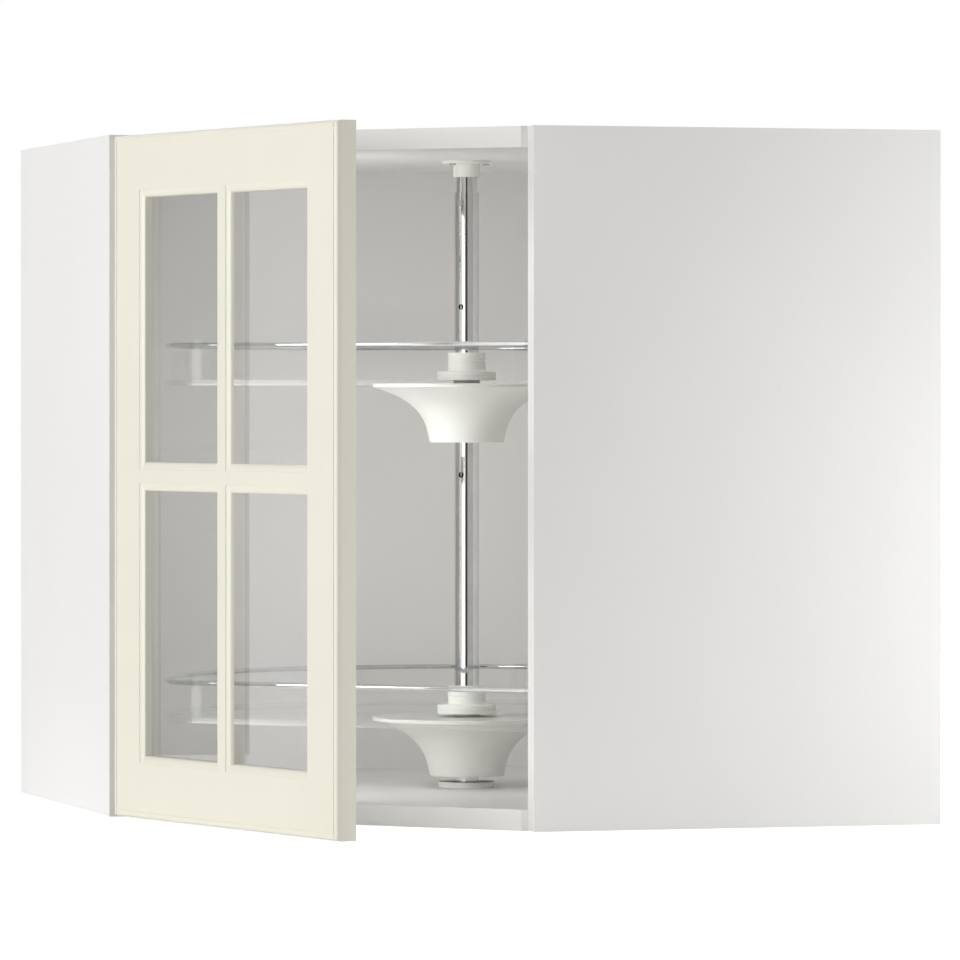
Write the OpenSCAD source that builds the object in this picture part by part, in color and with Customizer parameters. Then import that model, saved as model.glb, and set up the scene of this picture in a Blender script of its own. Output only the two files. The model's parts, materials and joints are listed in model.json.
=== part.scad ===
// Diagonal corner wall cabinet with a glazed door and a two-tier carousel.
// The origin is on the carousel axis, at the underside of the bottom panel.
// +X points to the right wall, +Y to the rear wall and +Z up.

/* [Cabinet] */
// Width of the cabinet along each wall
cabinet_w = 667; // [640:1:700]
// Depth of each side panel, from the wall to the front
side_depth = 367; // [350:1:380]
// Overall height
cabinet_h = 600; // [560:1:800]
// Thickness of the coated panels
panel_t = 18; // [16:1:18]
// Thickness of the back panels
back_t = 6; // [4:1:8]
// Space behind the back panels, for the hanging rails
back_recess = 12; // [10:1:14]

/* [Carousel] */
// Distance from the carousel axis to the right wall
pole_to_right_wall = 326; // [320:1:332]
// Distance from the carousel axis to the rear wall
pole_to_rear_wall = 320; // [316:1:326]
// Outer diameter of the lower tube
tube_d = 22; // [20:1:24]
// Outer diameter of the telescoping upper tube
inner_tube_d = 19; // [16:1:19]
// Height of the top of the outer tube
tube_joint_z = 553.5; // [540:0.5:558]
// Radius of the round part of a tray
tray_r = 270; // [240:1:270]
// Distance from the axis to the straight front of a tray
tray_front = 192; // [170:1:200]
// Height of the top face of the lower tray
lower_tray_z = 84.4; // [80:0.1:120]
// Distance from the lower tray up to the upper one
tray_gap = 300; // [250:1:340]
// Height of the wire rail above a tray
rail_rise = 31; // [24:1:40]
// Thickness of the rail's wire
wire_d = 5; // [4:0.5:6]
// Height of the conical hub under a tray
hub_h = 53; // [45:1:53]
// Radius of the rim of the hub
hub_rim_r = 85; // [70:1:90]

/* [Door] */
// Width of the door
door_w = 397; // [392:1:397]
// Height of the door
door_h = 597; // [557:1:797]
// Thickness of the door frame
door_t = 18; // [18:1:19]
// Width of the frame's stiles and rails, with their inner moulding
frame_w = 55; // [50:1:60]
// Width of the glazing bars, with their mouldings
bar_w = 24.9; // [20:0.1:30]
// Width of the moulding beside the glass
moulding_w = 6.3; // [5:0.1:7]
// How far the door stands open at rest, in degrees
door_open = 30.3; // [0:0.1:110]

/* [Hidden] */

$fn = 64;
eps = 0.01;
s45 = sqrt(0.5);

// Outer faces of the cabinet
left_x = pole_to_right_wall - cabinet_w;
front_y = pole_to_rear_wall - cabinet_w;
left_front_y = pole_to_rear_wall - side_depth;
right_front_x = pole_to_right_wall - side_depth;
diagonal_w = (cabinet_w - side_depth) * sqrt(2);

// Inner faces of the panels
left_in_x = left_x + panel_t;
right_in_y = front_y + panel_t;
ceiling_z = cabinet_h - panel_t;
rear_in_y = pole_to_rear_wall - back_recess - back_t;
right_in_x = pole_to_right_wall - back_recess - back_t;
groove_d = 8;

// A point across the diagonal front: t runs from the left front corner to the
// right one, and n stands out of the front
function front_point(t, n) = [left_x + (t - n) * s45, left_front_y - (t + n) * s45];
function turned(v, a) = [v.x * cos(a) - v.y * sin(a), v.x * sin(a) + v.y * cos(a)];

// Hinge linkage, in the plane seen from above, given with the door closed
door_proud = 12;
front_setback = 8.5;
door_relief = 10.7;
door_relief_to = 29;
link_share = 0.1;
arm_pivot_tn = [0.2, -34.4];
cup_pivot_tn = [24.94, 1.6];
link_bends_tn = [[37.67, -10.14], [36.12, -0.29]];
link_half_w = 2;
bend_r = 2.2;
link_half_h = 3;
eye_r = 2.9;
hinge_pin_r = 1.4;
pin_fit = 0.05;
hinge_inset = 100;
hinge_heights = [hinge_inset, cabinet_h - hinge_inset];

// Where the linkage stands when the door is open by door_open
door_corner_tn = [(diagonal_w - door_w) / 2, door_proud];
arm_pivot = front_point(arm_pivot_tn.x, arm_pivot_tn.y);
function from_arm(tn) = arm_pivot_tn + turned(tn - arm_pivot_tn, link_share * door_open);
cup_pivot_rest_tn = from_arm(cup_pivot_tn);
cup_pivot = front_point(cup_pivot_rest_tn.x, cup_pivot_rest_tn.y);
door_corner_rest_tn = cup_pivot_rest_tn + turned(door_corner_tn - cup_pivot_tn, door_open);
door_corner = front_point(door_corner_rest_tn.x, door_corner_rest_tn.y);
door_angle = -45 - door_open;
door_z = (cabinet_h - door_h) / 2;

// Door frame, in its own axes: x across, y back from the front face, z up
moulding_d = 3.4;
moulding_step = 0.8;
edge_round = 4.5;
edge_groove_at = 6.2;
edge_groove_w = 1.2;
edge_groove_d = 0.7;
glass_front = 9;
glass_t = 3;
glass_rebate = 14;
bead_gap = 0.5;
bar_t = 5;
bead_w = 3;
bead_d = 3.5;
cup_x = 22.5;
cup_r = 17.5;
cup_wall = 0.6;
cup_depth = 11.8;
cup_wing_h = 10;
cup_screw_z = 22;
sight_x = [frame_w, door_w - frame_w];
sight_z = [frame_w, door_h - frame_w];
mid_x = door_w / 2;
mid_z = door_h / 2;
flat_bar_w = bar_w - 2 * moulding_w;

// Panel joints
joint_places = [40, 290];
dowel_r = 4;
dowel_in_side = 12;
dowel_in_panel = 22;
bolt_r = 2.5;
bolt_in_side = 11;
bolt_offset = 32;
cam_r = 7.5;
cam_h = 12.5;
cam_from_end = 34;
hole_play = 0.1;

// Hanging rails
rail_plate_t = 2.5;
rail_plate_h = 50;
rail_plate_z = 520;
hang_hole_r = 4;
hang_holes = [-270, 240];
post_leg = 40;
rail_screw_r = 2;

// Carousel details
tube_wall = 1.2;
flange_screw_r = 1.6;
floor_flange_r = 25;
floor_flange_h = 5;
ceiling_flange_r = 22;
ceiling_flange_h = 2.5;
ceiling_collar_r = 12;
ceiling_collar_h = 12;
tube_hole_r = 2.6;
tube_hole_heights = [450.4, 299.2];
button_z = 544;
button_dir = 226;
button_r = 2.4;
tray_plate_t = 3;
tray_rim_h = 5;
tray_corner_r = 28;
hub_foot_r = 32;
bore_play = 0.06;
collar_r = 17;
collar_h = 25;
collar_foot_r = 26.5;
collar_foot_h = 8;
stop_ring_r = 16;
stop_ring_h = 7;
rail_inset = 1.5;
rail_r = tray_r - rail_inset;
rail_front = tray_front - rail_inset;
post_w = 10;
post_t = 3;
post_grip = 1.5;
front_post_at = 168;
back_post_angles = [18, -18, 100, -100];

panel_white = [0.93, 0.93, 0.92];
cream = [0.92, 0.91, 0.84];
chrome = [0.78, 0.79, 0.8];
steel = [0.7, 0.71, 0.72];
white_plastic = [0.94, 0.94, 0.93];
clear = [0.82, 0.88, 0.86, 0.45];
board = [0.78, 0.7, 0.58];

// ---------------------------------------------------------------- cabinet

module back_boards() {
    rear_board();
    right_board();
}

module rear_board() {
    translate([left_in_x - groove_d, rear_in_y, panel_t - groove_d])
        cube([right_in_x + back_t - left_in_x + groove_d, back_t,
              cabinet_h - 2 * panel_t + 2 * groove_d]);
}

module right_board() {
    translate([right_in_x, right_in_y - groove_d, panel_t - groove_d])
        cube([back_t, rear_in_y - right_in_y + groove_d,
              cabinet_h - 2 * panel_t + 2 * groove_d]);
}

// Places its children at each panel joint: x runs from the side panel into
// the top or bottom panel, and z points to the outer face
module at_joints() {
    for (top = [0, 1], place = joint_places) {
        z = top == 1 ? cabinet_h - panel_t / 2 : panel_t / 2;
        translate([left_in_x, left_front_y + place, z])
            rotate([180 * (1 - top), 0, 0]) children();
        translate([right_front_x + place, right_in_y, z])
            rotate([0, 0, 90]) rotate([180 * (1 - top), 0, 0]) children();
    }
}

module dowel(play = 0) {
    translate([-dowel_in_side - play, 0, 0])
        rotate([0, 90, 0])
        cylinder(r = dowel_r + play, h = dowel_in_side + dowel_in_panel + 2 * play);
}

module cam_bolt(play = 0) {
    translate([-bolt_in_side - play, bolt_offset, 0])
        rotate([0, 90, 0])
        cylinder(r = bolt_r + play, h = bolt_in_side + cam_from_end - cam_r - 0.3 + play);
}

module cam_disc(play = 0) {
    translate([cam_from_end, bolt_offset, panel_t / 2 - cam_h - play])
        cylinder(r = cam_r + play, h = cam_h + 2 * play);
}

module cross_slot() {
    translate([cam_from_end, bolt_offset, panel_t / 2]) {
        cube([9, 1.6, 4], center = true);
        cube([1.6, 9, 4], center = true);
    }
}

module joint_holes() {
    at_joints() {
        dowel(hole_play);
        cam_bolt(hole_play);
        cam_disc(hole_play);
    }
}

module side_panel(size) {
    color(panel_white) difference() {
        cube(size);
        children();
    }
}

module left_side_panel() {
    translate([left_x, left_front_y, 0])
        side_panel([panel_t, side_depth, cabinet_h])
        translate([-left_x, -left_front_y, 0]) {
            back_boards();
            joint_holes();
            arm_screws(hole_play);
        }
}

module right_side_panel() {
    translate([right_front_x, front_y, 0])
        side_panel([side_depth, panel_t, cabinet_h])
        translate([-right_front_x, -front_y, 0]) {
            back_boards();
            joint_holes();
        }
}

// Five-sided top and bottom panel, whose front edge lies between the side panels
// and is eased near the hinges, where the door's edge swings past it
module corner_plate(z) {
    nose = panel_t * sqrt(2) - front_setback;
    relief_nose = panel_t * sqrt(2) - door_relief;
    color(panel_white) difference() {
        translate([0, 0, z]) linear_extrude(panel_t)
            polygon([
                [left_in_x, left_front_y],
                front_point(relief_nose, -door_relief),
                front_point(door_relief_to, -door_relief),
                front_point(door_relief_to + 4, -front_setback),
                front_point(diagonal_w - nose, -front_setback),
                [right_front_x, right_in_y],
                [pole_to_right_wall, right_in_y],
                [pole_to_right_wall, pole_to_rear_wall],
                [left_in_x, pole_to_rear_wall]
            ]);
        back_boards();
        joint_holes();
        flange_screw_set(hole_play);
    }
}

module top_panel() {
    corner_plate(ceiling_z);
}

module bottom_panel() {
    corner_plate(0);
}

module rear_back_panel() {
    color(panel_white) difference() {
        rear_board();
        hang_hole_set();
        rail_screw_set(hole_play);
    }
}

module right_back_panel() {
    color(panel_white) difference() {
        right_board();
        hang_hole_set();
        rail_screw_set(hole_play);
    }
}

// L-shaped post in the recess behind the corner of the back panels
module rear_corner_post() {
    x = pole_to_right_wall;
    y = pole_to_rear_wall;
    color(board) translate([0, 0, panel_t])
        linear_extrude(cabinet_h - 2 * panel_t)
        polygon([
            [x - post_leg, y - back_recess], [x - back_recess, y - back_recess],
            [x - back_recess, y - post_leg], [x, y - post_leg], [x, y], [x - post_leg, y]
        ]);
}

// Places its children behind each back panel: x runs along the panel, y points
// to the wall, and y = 0 is the outer face of the back panel
module behind_backs() {
    translate([0, rear_in_y + back_t, 0]) children();
    translate([right_in_x + back_t, 0, 0]) rotate([0, 0, -90]) mirror([1, 0, 0]) children();
}

module hang_hole_set() {
    behind_backs() for (x = hang_holes)
        translate([x, -back_t - 1, rail_plate_z + rail_plate_h / 2])
            rotate([-90, 0, 0]) cylinder(r = hang_hole_r, h = back_t + rail_plate_t + 2);
}

rail_screw_places = [-300, -150, 0, 150];
rail_screw_head_r = 4;
rail_screw_head_h = 2.2;

module rail_screw_set(play = 0) {
    behind_backs() for (x = rail_screw_places)
        translate([x, rail_plate_t, rail_plate_z + rail_plate_h / 2]) {
            rotate([90, 0, 0]) translate([0, 0, -0.5])
                cylinder(r = rail_screw_r + play, h = rail_plate_t + back_t - 0.5 + play);
            if (play == 0)
                rotate([-90, 0, 0])
                    cylinder(r = rail_screw_head_r, h = rail_screw_head_h);
        }
}

module hanging_rail_screws() {
    color(steel) rail_screw_set();
}

// Steel strip with two holes for the wall fixings and a folded stiffening lip
module hanging_rail(length_from, length_to) {
    lip = 9;
    color(steel) difference() {
        union() {
            translate([length_from, 0, rail_plate_z])
                cube([length_to - length_from, rail_plate_t, rail_plate_h]);
            translate([length_from, 0, rail_plate_z + rail_plate_h - rail_plate_t])
                cube([length_to - length_from, lip, rail_plate_t]);
        }
        for (x = hang_holes)
            translate([x, -1, rail_plate_z + rail_plate_h / 2])
                rotate([-90, 0, 0]) cylinder(r = hang_hole_r, h = rail_plate_t + 2);
        for (x = rail_screw_places)
            translate([x, -1, rail_plate_z + rail_plate_h / 2])
                rotate([-90, 0, 0])
                cylinder(r = rail_screw_r + hole_play, h = rail_plate_t + 2);
    }
}

module rear_hanging_rail() {
    translate([0, rear_in_y + back_t, 0])
        hanging_rail(left_in_x, pole_to_right_wall - post_leg);
}

module right_hanging_rail() {
    translate([right_in_x + back_t, 0, 0])
        rotate([0, 0, -90]) mirror([1, 0, 0])
        hanging_rail(right_in_y, pole_to_rear_wall - post_leg);
}

module panel_dowels() {
    color(board) at_joints() dowel();
}

module cam_bolts() {
    color(steel) at_joints() cam_bolt();
}

module cam_discs() {
    color(steel) at_joints() difference() {
        cam_disc();
        cross_slot();
    }
}

// ---------------------------------------------------------------- hinges

arm_base_t = 2;
arm_base_from = 15;
arm_base_to = 75;
arm_base_half_h = 22;
arm_ear_t = 2;
arm_ear_back = 26;
arm_screw_r = 2;
arm_screw_y = [20, 55];
arm_screw_z = 16;
arm_screw_len = 10;

function ear_z() = link_half_h + 0.3;

// Fixed arm on the inner face of the left side panel, with two ears round the link
module hinge_arm(z) {
    color(steel) translate([0, 0, z]) difference() {
        union() {
            translate([left_in_x, left_front_y + arm_base_from, -arm_base_half_h])
                cube([arm_base_t, arm_base_to - arm_base_from, 2 * arm_base_half_h]);
            for (side = [-1, 1])
                translate([left_in_x, arm_pivot.y, side * (ear_z() + arm_ear_t / 2)])
                    linear_extrude(arm_ear_t, center = true) {
                        translate([0, -eye_r - 1])
                            square([arm_pivot.x - left_in_x, arm_ear_back + eye_r + 1]);
                        translate([arm_pivot.x - left_in_x, 0]) circle(r = eye_r + 1);
                        translate([arm_pivot.x - left_in_x - 1, 0])
                            square([eye_r + 2, arm_ear_back]);
                    }
        }
        translate([arm_pivot.x, arm_pivot.y, -20])
            cylinder(r = hinge_pin_r + 0.02, h = 40);
        arm_screw_local(hole_play);
    }
}

module arm_screw_local(play = 0) {
    for (y = arm_screw_y, side = [-1, 1])
        translate([left_in_x + arm_base_t, left_front_y + y, side * arm_screw_z])
            rotate([0, -90, 0]) {
                translate([0, 0, -0.5])
                    cylinder(r = arm_screw_r + play, h = arm_screw_len + arm_base_t + play);
                if (play == 0)
                    translate([0, 0, -2]) cylinder(r = 3.6, h = 2);
            }
}

module arm_screws(play = 0) {
    for (z = hinge_heights)
        translate([0, 0, z]) arm_screw_local(play);
}

module hinge_arm_screws() {
    color(steel) arm_screws();
}

module upper_hinge_arm() {
    hinge_arm(hinge_heights[1]);
}

module lower_hinge_arm() {
    hinge_arm(hinge_heights[0]);
}

module pivot_pin(at, half_h) {
    for (z = hinge_heights)
        translate([at.x, at.y, z - half_h]) cylinder(r = hinge_pin_r, h = 2 * half_h);
}

module hinge_arm_pins() {
    color(steel) pivot_pin(arm_pivot, ear_z() + arm_ear_t);
}

// Straight bar of a link from a to b, with a round of start_r about a
module link_bar(a, b, start_r) {
    d = b - a;
    round_at(a, b, start_r);
    translate([a.x, a.y, -link_half_h])
        rotate([0, 0, atan2(d.y, d.x)]) translate([0, -link_half_w, 0])
            cube([norm(d), 2 * link_half_w, 2 * link_half_h]);
}

module round_at(a, towards, r) {
    d = towards - a;
    translate([a.x, a.y, -link_half_h])
        rotate([0, 0, atan2(d.y, d.x)]) cylinder(r = r, h = 2 * link_half_h);
}

// Bent link from the arm's pivot, round the panel's edge, to the cup's pivot
module hinge_link(z) {
    bends = [for (tn = link_bends_tn) let (r = from_arm(tn)) front_point(r.x, r.y)];
    color(steel) translate([0, 0, z]) difference() {
        union() {
            link_bar(arm_pivot, bends[0], eye_r);
            link_bar(bends[0], bends[1], bend_r);
            link_bar(bends[1], cup_pivot, bend_r);
            round_at(cup_pivot, bends[1], eye_r);
        }
        for (p = [arm_pivot, cup_pivot])
            translate([p.x, p.y, -20]) cylinder(r = hinge_pin_r + pin_fit, h = 40);
    }
}

module upper_hinge_link() {
    hinge_link(hinge_heights[1]);
}

module lower_hinge_link() {
    hinge_link(hinge_heights[0]);
}

// ---------------------------------------------------------------- door

// Places the door's own axes in the cabinet, open by door_open
module on_door() {
    translate([door_corner.x, door_corner.y, door_z])
        rotate([0, 0, door_angle]) children();
}

// Section of the door from front to back at one outer edge: a rounded edge
// and a fine groove beside it. It covers across from 0 to width.
module edge_section(width) {
    steps = 6;
    round_points = [for (i = [0 : steps]) let (a = 90 * i / steps)
        [edge_round * 0.75 * (1 - sin(a)), edge_round * (1 - cos(a))]];
    difference() {
        polygon(concat(round_points, [[0, door_t], [width, door_t], [width, 0]]));
        translate([edge_groove_at, 0]) square([edge_groove_w, 2 * edge_groove_d], center = true);
    }
}

// Whole door as a slab whose four outer edges are rounded and grooved
module door_slab() {
    intersection() {
        linear_extrude(door_h) {
            edge_section(mid_x + eps);
            translate([door_w, 0]) mirror([1, 0]) edge_section(mid_x + eps);
        }
        rotate([90, 0, 90]) linear_extrude(door_w) {
            mirror_to_z() edge_section(mid_z + eps);
            translate([0, door_h]) mirror([0, 1]) mirror_to_z() edge_section(mid_z + eps);
        }
    }
}

// Swaps the two axes of a section
module mirror_to_z() {
    mirror([1, -1, 0]) children();
}

// Section of the moulding at one side of a pane: a small step, then a quarter round
function moulding_points(width) = [
    [-1, -1], [width + moulding_w, -1], [width + moulding_w, moulding_step],
    for (i = [0 : 5]) let (a = 90 * i / 5)
        [width + (moulding_w - moulding_step) * (1 - sin(a)),
         moulding_step + (moulding_d - moulding_step) * (1 - cos(a))]
];

// Space of one pane: straight sides behind the moulding, which opens forwards
module pane_space(x0, x1, z0, z1) {
    intersection() {
        translate([0, 0, z0 - moulding_w]) linear_extrude(z1 - z0 + 2 * moulding_w)
            pane_outline(x0, x1);
        translate([x0 - moulding_w, 0, 0]) rotate([90, 0, 90])
            linear_extrude(x1 - x0 + 2 * moulding_w)
            mirror_to_z() pane_outline(z0, z1);
    }
}

module pane_outline(a, b) {
    half = (b - a) / 2;
    middle = (a + b) / 2;
    for (side = [-1, 1])
        translate([middle, 0]) scale([side, 1])
            polygon(concat(moulding_points(half), [[half, door_t + 1], [-1, door_t + 1]]));
}

module pane_spaces() {
    gap = bar_w / 2;
    for (xs = [[sight_x[0], mid_x - gap], [mid_x + gap, sight_x[1]]],
         zs = [[sight_z[0], mid_z - gap], [mid_z + gap, sight_z[1]]])
        pane_space(xs[0], xs[1], zs[0], zs[1]);
}

module glass_space() {
    translate([frame_w - glass_rebate, glass_front, frame_w - glass_rebate])
        cube([door_w - 2 * frame_w + 2 * glass_rebate, door_t,
              door_h - 2 * frame_w + 2 * glass_rebate]);
}

// The part of the door frame inside one box
module frame_member(from, to) {
    color(cream) on_door() difference() {
        intersection() {
            door_slab();
            translate([from.x, -1, from.y]) cube([to.x - from.x, door_t + 2, to.y - from.y]);
        }
        pane_spaces();
        glass_space();
        children();
    }
}

module cup_holes() {
    for (z = hinge_heights)
        translate([cup_x, door_t, z - door_z]) rotate([90, 0, 0]) {
            cylinder(r = cup_r + 0.05, h = cup_depth + 0.05);
            for (side = [-1, 1])
                translate([0, side * cup_screw_z, 0])
                    cylinder(r = 1.6 + hole_play, h = 9);
        }
}

module hinge_stile() {
    frame_member([0, 0], [frame_w, door_h]) cup_holes();
}

module free_stile() {
    frame_member([door_w - frame_w, 0], [door_w, door_h]);
}

module door_top_rail() {
    frame_member([frame_w, door_h - frame_w], [door_w - frame_w, door_h]);
}

module door_bottom_rail() {
    frame_member([frame_w, 0], [door_w - frame_w, frame_w]);
}

module vertical_glazing_bar() {
    color(cream) on_door() difference() {
        translate([mid_x - bar_w / 2, 0, frame_w])
            cube([bar_w, bar_t, door_h - 2 * frame_w]);
        pane_spaces();
    }
}

module horizontal_glazing_bars() {
    color(cream) on_door() difference() {
        for (xs = [[frame_w, mid_x - bar_w / 2], [mid_x + bar_w / 2, door_w - frame_w]])
            translate([xs[0], 0, mid_z - bar_w / 2])
                cube([xs[1] - xs[0], bar_t, bar_w]);
        pane_spaces();
    }
}

module glass_pane() {
    edge = frame_w - glass_rebate + bead_gap;
    color(clear) on_door() translate([edge, glass_front, edge])
        cube([door_w - 2 * edge, glass_t, door_h - 2 * edge]);
}

// Four strips that hold the glass in the rebate, the short ones between the long
module glazing_beads() {
    outer = frame_w - glass_rebate;
    back = glass_front + glass_t;
    joint = 0.2;
    color(cream) on_door() {
        for (x = [outer, door_w - outer - bead_w])
            translate([x, back, outer]) cube([bead_w, bead_d, door_h - 2 * outer]);
        for (z = [outer, door_h - outer - bead_w])
            translate([outer + bead_w + joint, back, z])
                cube([door_w - 2 * (outer + bead_w + joint), bead_d, bead_w]);
    }
}

module hinge_cup(z) {
    cup_in_r = cup_r - cup_wall;
    floor_y = door_t - cup_depth + 0.8;
    wing_t = 1.2;
    wing_w = 24;
    pivot_x = cup_pivot_tn.x - door_corner_tn.x;
    pivot_y = door_corner_tn.y - cup_pivot_tn.y;
    ear_d = 5.4;
    color(steel) on_door() translate([0, 0, z - door_z]) difference() {
        union() {
            difference() {
                translate([cup_x, door_t, 0]) rotate([90, 0, 0])
                    cylinder(r = cup_r, h = cup_depth);
                translate([cup_x, door_t + 1, 0]) rotate([90, 0, 0])
                    cylinder(r = cup_in_r, h = door_t + 1 - floor_y);
            }
            difference() {
                translate([cup_x - wing_w / 2, door_t, -cup_screw_z - cup_wing_h / 2])
                    cube([wing_w, wing_t, 2 * cup_screw_z + cup_wing_h]);
                translate([cup_x, door_t + 2, 0]) rotate([90, 0, 0])
                    cylinder(r = cup_in_r, h = 3);
            }
            for (side = [-1, 1]) {
                translate([pivot_x - ear_d / 2, floor_y - 0.4,
                           side * (ear_z() + 0.75) - 0.75])
                    cube([ear_d, pivot_y - floor_y + 3, 1.5]);
            }
        }
        translate([pivot_x, pivot_y, -20]) cylinder(r = hinge_pin_r + 0.02, h = 40);
        for (side = [-1, 1])
            translate([cup_x, door_t + 3, side * cup_screw_z]) rotate([90, 0, 0])
                cylinder(r = 1.6 + hole_play, h = 6);
    }
}

module upper_hinge_cup() {
    hinge_cup(hinge_heights[1]);
}

module lower_hinge_cup() {
    hinge_cup(hinge_heights[0]);
}

module hinge_cup_screws() {
    color(steel) on_door() for (z = hinge_heights, side = [-1, 1])
        translate([cup_x, door_t + 1.2, z - door_z + side * cup_screw_z])
            rotate([90, 0, 0]) {
                translate([0, 0, -0.5]) cylinder(r = 1.6, h = 9);
                translate([0, 0, -1.8]) cylinder(r = 3.2, h = 1.8);
            }
}

module hinge_cup_pins() {
    color(steel) pivot_pin(cup_pivot, ear_z() + 1.5);
}

// Soft discs on the back of the free stile, which meet the cabinet's front edge
module door_bumpers() {
    bumper_r = 4;
    bumper_h = 2.3;
    color(white_plastic) on_door() for (z = [9, door_h - 9])
        translate([door_w - 22, door_t, z]) rotate([-90, 0, 0])
            cylinder(r = bumper_r, h = bumper_h);
}

// ---------------------------------------------------------------- carousel post

flange_screw_len = 12;
flange_head_h = 1.5;

module flange_screw_at() {
    for (i = [0 : 2]) rotate([0, 0, 90 + 120 * i]) translate([18, 0, 0]) children();
}

module flange_screw_set(play = 0) {
    floor_head_z = panel_t + floor_flange_h - flange_head_h;
    ceiling_head_z = ceiling_z - ceiling_flange_h;
    flange_screw_at() {
        translate([0, 0, panel_t - flange_screw_len])
            cylinder(r = flange_screw_r + play,
                     h = floor_head_z - panel_t + flange_screw_len + 0.5);
        translate([0, 0, ceiling_head_z - 0.5])
            cylinder(r = flange_screw_r + play,
                     h = ceiling_flange_h + flange_screw_len + 0.5);
    }
}

module flange_screws() {
    color(steel) {
        flange_screw_set();
        flange_screw_at() {
            translate([0, 0, panel_t + floor_flange_h - flange_head_h])
                cylinder(r = 3, h = flange_head_h);
            translate([0, 0, ceiling_z - ceiling_flange_h - flange_head_h])
                cylinder(r = 3, h = flange_head_h);
        }
    }
}

module ceiling_flange() {
    bottom = ceiling_z - ceiling_flange_h - ceiling_collar_h;
    color(white_plastic) difference() {
        union() {
            translate([0, 0, ceiling_z - ceiling_flange_h])
                cylinder(r = ceiling_flange_r, h = ceiling_flange_h);
            translate([0, 0, bottom]) cylinder(r = ceiling_collar_r, h = ceiling_collar_h);
        }
        translate([0, 0, bottom - 1])
            cylinder(r = inner_tube_d / 2 + 0.05, h = ceiling_collar_h + 1);
        flange_screw_at() translate([0, 0, ceiling_z - 10])
            cylinder(r = flange_screw_r + hole_play, h = 12);
    }
}

module floor_flange() {
    color(white_plastic) difference() {
        translate([0, 0, panel_t]) cylinder(r = floor_flange_r, h = floor_flange_h);
        translate([0, 0, panel_t + 2]) cylinder(r = tube_d / 2 + 0.05, h = floor_flange_h);
        flange_screw_at() {
            translate([0, 0, panel_t - 1])
                cylinder(r = flange_screw_r + hole_play, h = floor_flange_h + 2);
            translate([0, 0, panel_t + floor_flange_h - 1.5])
                cylinder(r = 3 + hole_play, h = 3);
        }
    }
}

// A hole through one wall of the tubes, towards the button's side
module tube_hole(z, r, from = 0, reach = 20) {
    rotate([0, 0, button_dir]) translate([from, 0, z]) rotate([0, 90, 0])
        cylinder(r = r, h = reach);
}

module outer_tube() {
    color(chrome) difference() {
        translate([0, 0, panel_t + 2])
            cylinder(r = tube_d / 2, h = tube_joint_z - panel_t - 2);
        translate([0, 0, panel_t + 1])
            cylinder(r = tube_d / 2 - tube_wall, h = tube_joint_z - panel_t);
        tube_hole(button_z, button_r + 0.3);
        for (z = tube_hole_heights) tube_hole(z, tube_hole_r);
        for (z = stop_heights()) tube_hole(z + stop_ring_h / 2, stop_pin_r + 0.05, -20, 40);
    }
}

module inner_tube() {
    top = ceiling_z - ceiling_flange_h;
    bottom = tube_joint_z - 70;
    in_r = inner_tube_d / 2 - tube_wall;
    color(chrome) difference() {
        translate([0, 0, bottom]) cylinder(r = inner_tube_d / 2, h = top - bottom);
        translate([0, 0, bottom - 1]) cylinder(r = in_r, h = top - bottom - 2);
        tube_hole(button_z, button_r + 0.3);
    }
}

// Spring button of the telescoping tube, with a foot inside the inner tube
module tube_lock_button() {
    in_r = inner_tube_d / 2 - tube_wall;
    foot_r = 3.6;
    foot_t = 1.2;
    foot_back = 1.1;
    color(steel) rotate([0, 0, button_dir]) translate([0, 0, button_z]) rotate([0, 90, 0]) {
        translate([0, 0, in_r - foot_back - foot_t]) cylinder(r = foot_r, h = foot_t);
        translate([0, 0, in_r - foot_back - eps])
            cylinder(r = button_r, h = tube_d / 2 + 1 - in_r + foot_back);
    }
}

stop_pin_r = 2;

function tray_heights() = [lower_tray_z, lower_tray_z + tray_gap];
function stop_heights() = [for (z = tray_heights()) z - tray_plate_t - hub_h + 3];

// Ring pinned to the tube inside the foot of a hub, which carries the tray
module stop_ring(tray_z) {
    z = tray_z - tray_plate_t - hub_h + 3;
    color(white_plastic) translate([0, 0, z]) difference() {
        cylinder(r = stop_ring_r, h = stop_ring_h);
        translate([0, 0, -1]) cylinder(r = tube_d / 2 + 0.05, h = stop_ring_h + 2);
        rotate([0, 0, button_dir]) translate([-20, 0, stop_ring_h / 2])
            rotate([0, 90, 0]) cylinder(r = stop_pin_r + 0.05, h = 40);
    }
}

module upper_stop_ring() {
    stop_ring(tray_heights()[1]);
}

module lower_stop_ring() {
    stop_ring(tray_heights()[0]);
}

module stop_pins() {
    color(steel) for (z = stop_heights())
        rotate([0, 0, button_dir])
            translate([-stop_ring_r + 0.5, 0, z + stop_ring_h / 2]) rotate([0, 90, 0])
            cylinder(r = stop_pin_r, h = 2 * stop_ring_r - 1);
}

// ---------------------------------------------------------------- trays

// Turns the sheet so that x runs along the straight front and y points out of it
module to_front() {
    rotate([0, 0, 135]) mirror([1, 0, 0]) children();
}

// Half the length of the straight front, where the corner arcs begin
function straight_half(r, front, corner) = sqrt(pow(r - corner, 2) - pow(front - corner, 2));

// Outline of a tray: a circle with one straight side and rounded corners. The
// corners stand a hair proud, so that the curves cross where they meet.
module tray_outline(r, front, corner) {
    half = straight_half(r, front, corner);
    corner_y = front - corner;
    far = 3;
    intersection() {
        circle(r = r, $fn = 180);
        polygon([
            [half, corner_y], [half * far, corner_y * far], [r * far, -r * far],
            [-r * far, -r * far], [-half * far, corner_y * far], [-half, corner_y]
        ]);
    }
    for (side = [-1, 1]) translate([side * half, corner_y]) circle(r = corner + 0.05);
    translate([-half, corner_y - 5]) square([2 * half, corner + 5]);
}

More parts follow.
